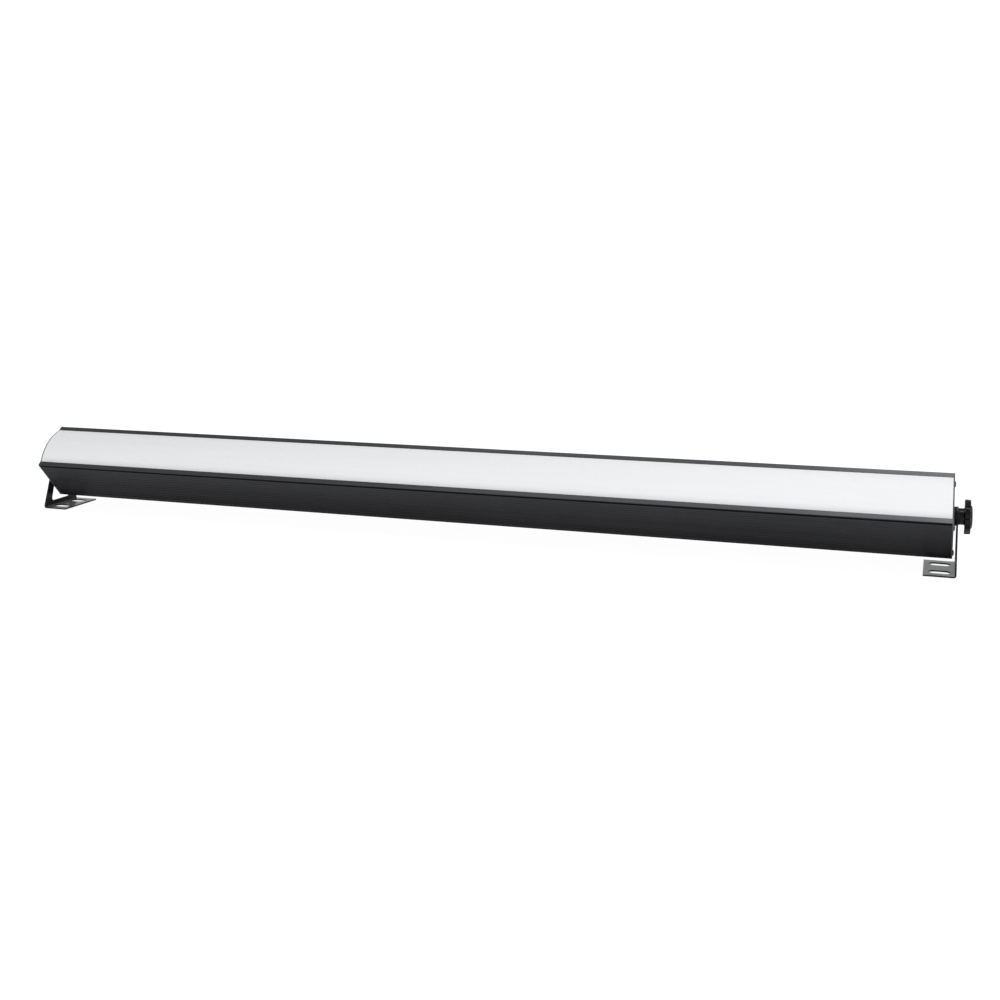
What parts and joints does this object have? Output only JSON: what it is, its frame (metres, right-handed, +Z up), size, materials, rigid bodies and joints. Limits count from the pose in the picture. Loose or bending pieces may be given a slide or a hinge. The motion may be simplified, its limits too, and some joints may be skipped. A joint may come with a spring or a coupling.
{
  "type": "led strip batten",
  "caption": "Long slim LED batten with an opal curved diffuser in a grooved black extrusion, tilting on two slotted floor brackets held by star knobs.",
  "frame": {"origin": "on the floor, midway between the brackets and under the tilt axis", "axes": "+X along the batten, +Y away from the side the light leaves, +Z up"},
  "size_m": [1.0334, 0.0802, 0.0919],
  "materials": {
    "housing": "satin black anodised extrusion",
    "diffuser": "opal polycarbonate, softly glossy, lights off",
    "end_cap": "fine black powder coat on sheet",
    "end_cap_screw": "blackened pan-head screws",
    "insert": "zinc-plated",
    "spacer": "black nylon",
    "bracket": "satin black powder-coated steel sheet",
    "washer": "zinc-plated washer",
    "knob": "black moulded plastic with a soft sheen",
    "stud": "zinc-plated threaded stud",
    "led_tray": "plain aluminium sheet",
    "led_board": "white solder mask",
    "led": "phosphor window in a white package",
    "steel_screw": "zinc-plated",
    "white_connector": "natural nylon",
    "panel": "fine black powder coat",
    "rear_screw": "blackened",
    "socket_body": "black moulded nylon",
    "contact": "tinned brass",
    "fuse": "glass tube with plated end caps",
    "latch": "plated",
    "green_board": "green solder mask",
    "display": "black display block",
    "window": "dark red filter",
    "button": "grey moulded",
    "switch": "black tact switches",
    "copper": "enamelled copper winding",
    "transformer": "yellow winding tape on a dark core",
    "capacitor": "dark printed sleeve",
    "heatsink": "extruded",
    "component": "black moulded components",
    "terminal": "green terminal blocks",
    "pillar": "plain brass",
    "live_wire": "brown insulation",
    "neutral_wire": "blue insulation",
    "earth_wire": "green insulation with a yellow stripe",
    "low_voltage_wire": "red, black and grey insulation",
    "signal_wire": "grey insulation",
    "ribbon": "grey ribbon"
  },
  "bodies": {
    "housing": {"housing": "housing", "diffuser": "diffuser", "end_cap_left": "end_cap", "end_cap_right": "end_cap", "end_cap_screws": "end_cap_screw", "pivot_inserts": "insert", "pivot_spacer_left": "spacer", "pivot_spacer_right": "spacer", "led_tray": "led_tray", "led_board_1": "led_board", "led_board_2": "led_board", "led_board_3": "led_board", "led_board_4": "led_board", "leds": "led", "led_board_screws": "steel_screw", "led_board_links": "white_connector", "control_panel": "panel", "rear_screws": "rear_screw", "mains_inlet": "socket_body", "mains_outlet": "socket_body", "connector_pins": "contact", "fuse_holder": "socket_body", "dmx_input": "socket_body", "dmx_output": "socket_body", "display_board": "green_board", "display_module": "display", "display_window": "window", "menu_switches": "switch", "psu_board": "green_board", "psu_choke": "copper", "psu_transformer": "transformer", "psu_capacitors": "capacitor", "psu_heatsink": "heatsink", "driver_board": "green_board", "driver_components": "component", "board_terminals": "terminal", "board_pillars": "pillar", "board_screws": "steel_screw", "earth_stud": "contact", "live_wires": "live_wire", "neutral_wires": "neutral_wire", "earth_wires": "earth_wire", "low_voltage_wires": "low_voltage_wire", "signal_wires": "signal_wire", "display_ribbon": "ribbon"},
    "bracket_left": {"bracket_left": "bracket"},
    "bracket_right": {"bracket_right": "bracket"},
    "washer_left": {"knob_washer_left": "washer"},
    "washer_right": {"knob_washer_right": "washer"},
    "knob_left": {"knob_left": "knob", "knob_stud_left": "stud"},
    "knob_right": {"knob_right": "knob", "knob_stud_right": "stud"},
    "fuse": {"fuse": "fuse"},
    "fuse_cap": {"fuse_cap": "socket_body"},
    "dmx_latch": {"dmx_output_latch": "latch"},
    "menu_button_1": {"menu_button_1": "button"},
    "menu_button_2": {"menu_button_2": "button"},
    "menu_button_3": {"menu_button_3": "button"},
    "menu_button_4": {"menu_button_4": "button"}
  },
  "joints": [
    {"name": "tilt_left", "type": "hinge", "parent": "housing", "child": "bracket_left", "pos_m": [-0.503, 0, 0.052], "axis": [1, 0, 0], "continuous": true},
    {"name": "knob_left_turn", "type": "hinge", "parent": "washer_left", "child": "knob_left", "pos_m": [-0.51, 0, 0.052], "axis": [-1, 0, 0], "range_deg": [0, 360]},
    {"name": "knob_left_travel", "type": "slide", "parent": "housing", "child": "washer_left", "axis": [-1, 0, 0], "range_m": [0, 0.00125]},
    {"name": "tilt_right", "type": "hinge", "parent": "housing", "child": "bracket_right", "pos_m": [0.503, 0, 0.052], "axis": [1, 0, 0], "continuous": true},
    {"name": "knob_right_turn", "type": "hinge", "parent": "washer_right", "child": "knob_right", "pos_m": [0.51, 0, 0.052], "axis": [1, 0, 0], "range_deg": [0, 360]},
    {"name": "knob_right_travel", "type": "slide", "parent": "housing", "child": "washer_right", "axis": [1, 0, 0], "range_m": [0, 0.00125]},
    {"name": "fuse_slide", "type": "slide", "parent": "housing", "child": "fuse", "axis": [0, 0.6561, -0.7547], "range_m": [0, 0.023]},
    {"name": "fuse_cap_turn", "type": "hinge", "parent": "fuse", "child": "fuse_cap", "pos_m": [-0.029, 0.02149, 0.02728], "axis": [0, 0.6561, -0.7547], "range_deg": [0, 90]},
    {"name": "dmx_latch_press", "type": "slide", "parent": "housing", "child": "dmx_latch", "axis": [0, -0.6561, 0.7547], "range_m": [0, 0.0015], "stiffness_N_per_m": 800, "springref_m": -0.0006},
    {"name": "menu_button_1_press", "type": "slide", "parent": "housing", "child": "menu_button_1", "axis": [0, -0.6561, 0.7547], "range_m": [0, 0.0008], "stiffness_N_per_m": 400, "springref_m": -0.0006},
    {"name": "menu_button_2_press", "type": "slide", "parent": "housing", "child": "menu_button_2", "axis": [0, -0.6561, 0.7547], "range_m": [0, 0.0008], "stiffness_N_per_m": 400, "springref_m": -0.0006},
    {"name": "menu_button_3_press", "type": "slide", "parent": "housing", "child": "menu_button_3", "axis": [0, -0.6561, 0.7547], "range_m": [0, 0.0008], "stiffness_N_per_m": 400, "springref_m": -0.0006},
    {"name": "menu_button_4_press", "type": "slide", "parent": "housing", "child": "menu_button_4", "axis": [0, -0.6561, 0.7547], "range_m": [0, 0.0008], "stiffness_N_per_m": 400, "springref_m": -0.0006}
  ],
  "couplings": [
    {"joint": "knob_left_turn", "follows": "knob_left_travel", "rad_per_m": 5026.5},
    {"joint": "knob_right_turn", "follows": "knob_right_travel", "rad_per_m": 5026.5}
  ]
}
